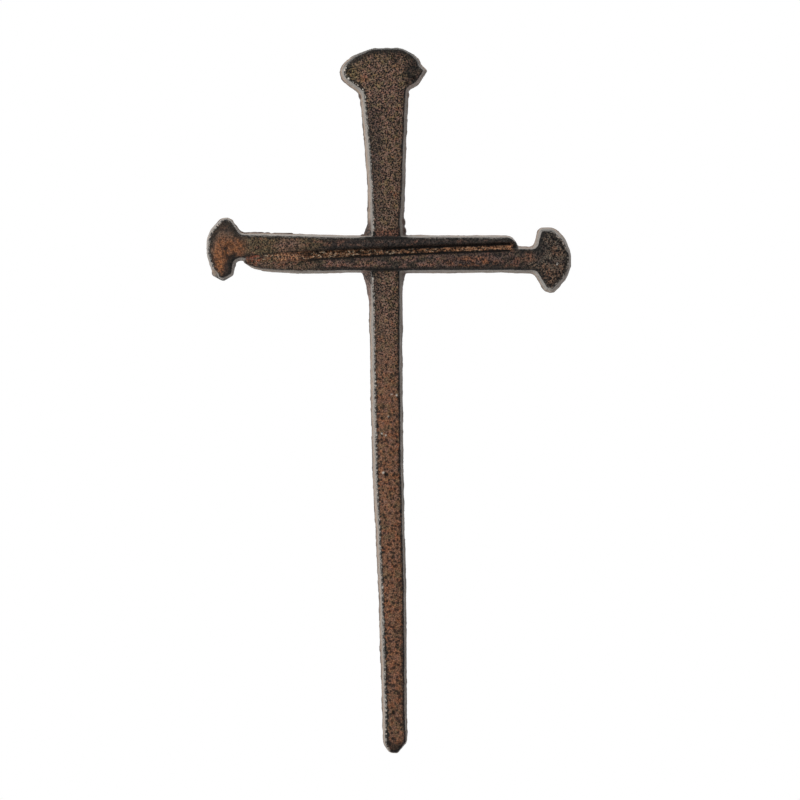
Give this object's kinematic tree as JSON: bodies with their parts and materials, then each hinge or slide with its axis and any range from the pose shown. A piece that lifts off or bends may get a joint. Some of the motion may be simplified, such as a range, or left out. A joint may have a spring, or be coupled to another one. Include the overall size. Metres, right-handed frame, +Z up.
{
  "type": "nail wall cross",
  "caption": "Flat-backed cast iron wall cross in the shape of old square nails: a long upright nail and a crossbar of nails laid side by side, head to tail.",
  "frame": {"origin": "middle of the crossing, on the flat back that lies against the wall", "axes": "+Z up along the upright nail towards its head, +X to the right seen from the front, +Y out of the back into the wall"},
  "size_m": [0.1575, 0.0127, 0.3048],
  "materials": {
    "rubbed_cast_iron": "Dark brown-black paint, rubbed to copper brown on the high grains and rusted orange in patches, under a satin clear coat"
  },
  "bodies": {
    "root": {"nail_cross": "rubbed_cast_iron"}
  },
  "joints": []
}
